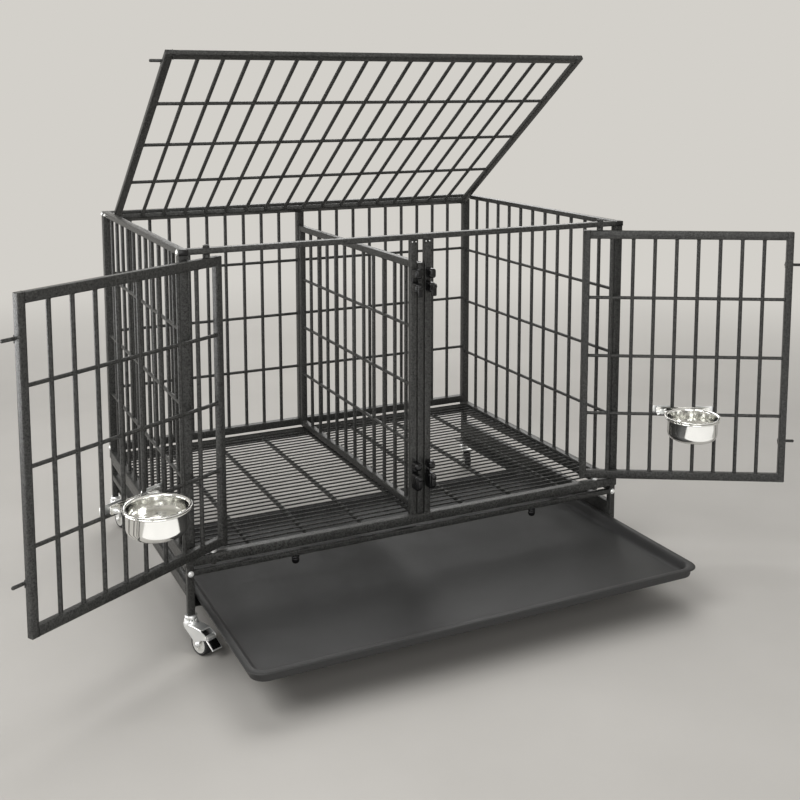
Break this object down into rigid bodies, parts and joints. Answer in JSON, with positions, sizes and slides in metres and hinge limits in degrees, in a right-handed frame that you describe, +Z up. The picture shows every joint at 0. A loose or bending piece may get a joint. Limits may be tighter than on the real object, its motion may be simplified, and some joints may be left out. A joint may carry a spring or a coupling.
{
  "type": "dog crate",
  "caption": "Steel bar dog crate on casters with hinged double doors, lifting top panel, inner divider, floor grid, pull-out tray and door-mounted bowls.",
  "frame": {"origin": "on the ground, under the middle of the box of the part at rest", "axes": "+X along the width, to the right of someone facing the doors; +Y from the doors to the back; +Z up"},
  "size_m": [1.8198, 1.12, 1.2443],
  "materials": {
    "powder_coat": "charcoal hammertone powder coat",
    "black_plastic": "moulded black nylon",
    "tray_plastic": "vacuum formed dark grey plastic, fine grain",
    "zinc_plate": "bright zinc plate",
    "stainless_steel": "polished stainless steel",
    "hub_plastic": "moulded white nylon",
    "tyre_rubber": "black moulded rubber"
  },
  "bodies": {
    "crate": {"left_panel_frame": "powder_coat", "left_panel_bars": "powder_coat", "right_panel_frame": "powder_coat", "right_panel_bars": "powder_coat", "back_panel_frame": "powder_coat", "back_panel_bars": "powder_coat", "front_top_rail": "powder_coat", "front_bottom_rail": "powder_coat", "centre_posts": "powder_coat", "base_left": "powder_coat", "base_right": "powder_coat", "base_rear_rail": "powder_coat", "front_tie_bar": "powder_coat", "tray_runners": "powder_coat", "tray_clips": "black_plastic", "floor_frame": "powder_coat", "floor_wires": "powder_coat", "divider_frame": "powder_coat", "divider_bars": "powder_coat", "latch_housings": "black_plastic", "rail_end_caps": "black_plastic", "fasteners": "zinc_plate", "caster_stems": "zinc_plate"},
    "left_door": {"left_door_frame": "powder_coat", "left_door_bars": "powder_coat", "left_door_latch_pins": "powder_coat", "left_door_pivots": "zinc_plate", "left_bowl_holder": "stainless_steel", "left_holder_clamps": "zinc_plate"},
    "left_bowl": {"left_bowl": "stainless_steel"},
    "right_door": {"right_door_frame": "powder_coat", "right_door_bars": "powder_coat", "right_door_latch_pins": "powder_coat", "right_door_pivots": "zinc_plate", "right_bowl_holder": "stainless_steel", "right_holder_clamps": "zinc_plate"},
    "right_bowl": {"right_bowl": "stainless_steel"},
    "lid": {"lid_frame": "powder_coat", "lid_bars": "powder_coat", "lid_latch_pin": "powder_coat", "lid_pivots": "zinc_plate"},
    "tray": {"tray": "tray_plastic"},
    "upper_left_latch": {"upper_left_latch": "black_plastic"},
    "upper_right_latch": {"upper_right_latch": "black_plastic"},
    "lower_left_latch": {"lower_left_latch": "black_plastic"},
    "lower_right_latch": {"lower_right_latch": "black_plastic"},
    "front_left_caster": {"front_left_fork": "zinc_plate"},
    "front_left_wheel": {"front_left_hub": "hub_plastic", "front_left_tyre": "tyre_rubber"},
    "front_left_pedal": {"front_left_brake": "black_plastic"},
    "front_right_caster": {"front_right_fork": "zinc_plate"},
    "front_right_wheel": {"front_right_hub": "hub_plastic", "front_right_tyre": "tyre_rubber"},
    "front_right_pedal": {"front_right_brake": "black_plastic"},
    "rear_left_caster": {"rear_left_fork": "zinc_plate"},
    "rear_left_wheel": {"rear_left_hub": "hub_plastic", "rear_left_tyre": "tyre_rubber"},
    "rear_right_caster": {"rear_right_fork": "zinc_plate"},
    "rear_right_wheel": {"rear_right_hub": "hub_plastic", "rear_right_tyre": "tyre_rubber"}
  },
  "joints": [
    {"name": "left_door_swing", "type": "hinge", "parent": "crate", "child": "left_door", "pos_m": [-0.485, -0.205, 0.516], "axis": [0, 0, 1], "range_deg": [0, 150]},
    {"name": "left_bowl_lift", "type": "slide", "parent": "left_door", "child": "left_bowl", "axis": [0, 0, 1], "range_m": [0, 0.08]},
    {"name": "right_door_swing", "type": "hinge", "parent": "crate", "child": "right_door", "pos_m": [0.485, -0.205, 0.516], "axis": [0, 0, -1], "range_deg": [0, 150]},
    {"name": "right_bowl_lift", "type": "slide", "parent": "right_door", "child": "right_bowl", "axis": [0, 0, 1], "range_m": [0, 0.08]},
    {"name": "lid_swing", "type": "hinge", "parent": "crate", "child": "lid", "pos_m": [0, 0.505, 0.839], "axis": [-1, 0, 0], "range_deg": [-35, 115]},
    {"name": "tray_slide", "type": "slide", "parent": "crate", "child": "tray", "axis": [0, 1, 0], "range_m": [0, 0.345]},
    {"name": "upper_left_latch_turn", "type": "hinge", "parent": "crate", "child": "upper_left_latch", "pos_m": [-0.017, -0.24, 0.731], "axis": [0, 1, 0], "range_deg": [0, 180]},
    {"name": "upper_right_latch_turn", "type": "hinge", "parent": "crate", "child": "upper_right_latch", "pos_m": [0.017, -0.24, 0.731], "axis": [0, -1, 0], "range_deg": [0, 180]},
    {"name": "lower_left_latch_turn", "type": "hinge", "parent": "crate", "child": "lower_left_latch", "pos_m": [-0.017, -0.24, 0.295], "axis": [0, 1, 0], "range_deg": [0, 180]},
    {"name": "lower_right_latch_turn", "type": "hinge", "parent": "crate", "child": "lower_right_latch", "pos_m": [0.017, -0.24, 0.295], "axis": [0, -1, 0], "range_deg": [0, 180]},
    {"name": "front_left_swivel", "type": "hinge", "parent": "crate", "child": "front_left_caster", "pos_m": [-0.535, -0.205, 0.064], "axis": [0, 0, 1], "continuous": true},
    {"name": "front_left_roll", "type": "hinge", "parent": "front_left_caster", "child": "front_left_wheel", "pos_m": [-0.52117, -0.23606, 0.025], "axis": [0.9135, 0.4067, 0], "continuous": true},
    {"name": "front_left_brake_tilt", "type": "hinge", "parent": "front_left_caster", "child": "front_left_pedal", "pos_m": [-0.511, -0.2589, 0.04625], "axis": [-0.9135, -0.4067, 0], "range_deg": [0, 20]},
    {"name": "front_right_swivel", "type": "hinge", "parent": "crate", "child": "front_right_caster", "pos_m": [0.535, -0.205, 0.064], "axis": [0, 0, 1], "continuous": true},
    {"name": "front_right_roll", "type": "hinge", "parent": "front_right_caster", "child": "front_right_wheel", "pos_m": [0.52117, -0.23606, 0.025], "axis": [0.9135, -0.4067, 0], "continuous": true},
    {"name": "front_right_brake_tilt", "type": "hinge", "parent": "front_right_caster", "child": "front_right_pedal", "pos_m": [0.511, -0.2589, 0.04625], "axis": [-0.9135, 0.4067, 0], "range_deg": [0, 20]},
    {"name": "rear_left_swivel", "type": "hinge", "parent": "crate", "child": "rear_left_caster", "pos_m": [-0.535, 0.545, 0.064], "axis": [0, 0, 1], "continuous": true},
    {"name": "rear_left_roll", "type": "hinge", "parent": "rear_left_caster", "child": "rear_left_wheel", "pos_m": [-0.52563, 0.51232, 0.025], "axis": [0.9613, 0.2756, 0], "continuous": true},
    {"name": "rear_right_swivel", "type": "hinge", "parent": "crate", "child": "rear_right_caster", "pos_m": [0.535, 0.545, 0.064], "axis": [0, 0, 1], "continuous": true},
    {"name": "rear_right_roll", "type": "hinge", "parent": "rear_right_caster", "child": "rear_right_wheel", "pos_m": [0.52563, 0.51232, 0.025], "axis": [0.9613, -0.2756, 0], "continuous": true}
  ]
}
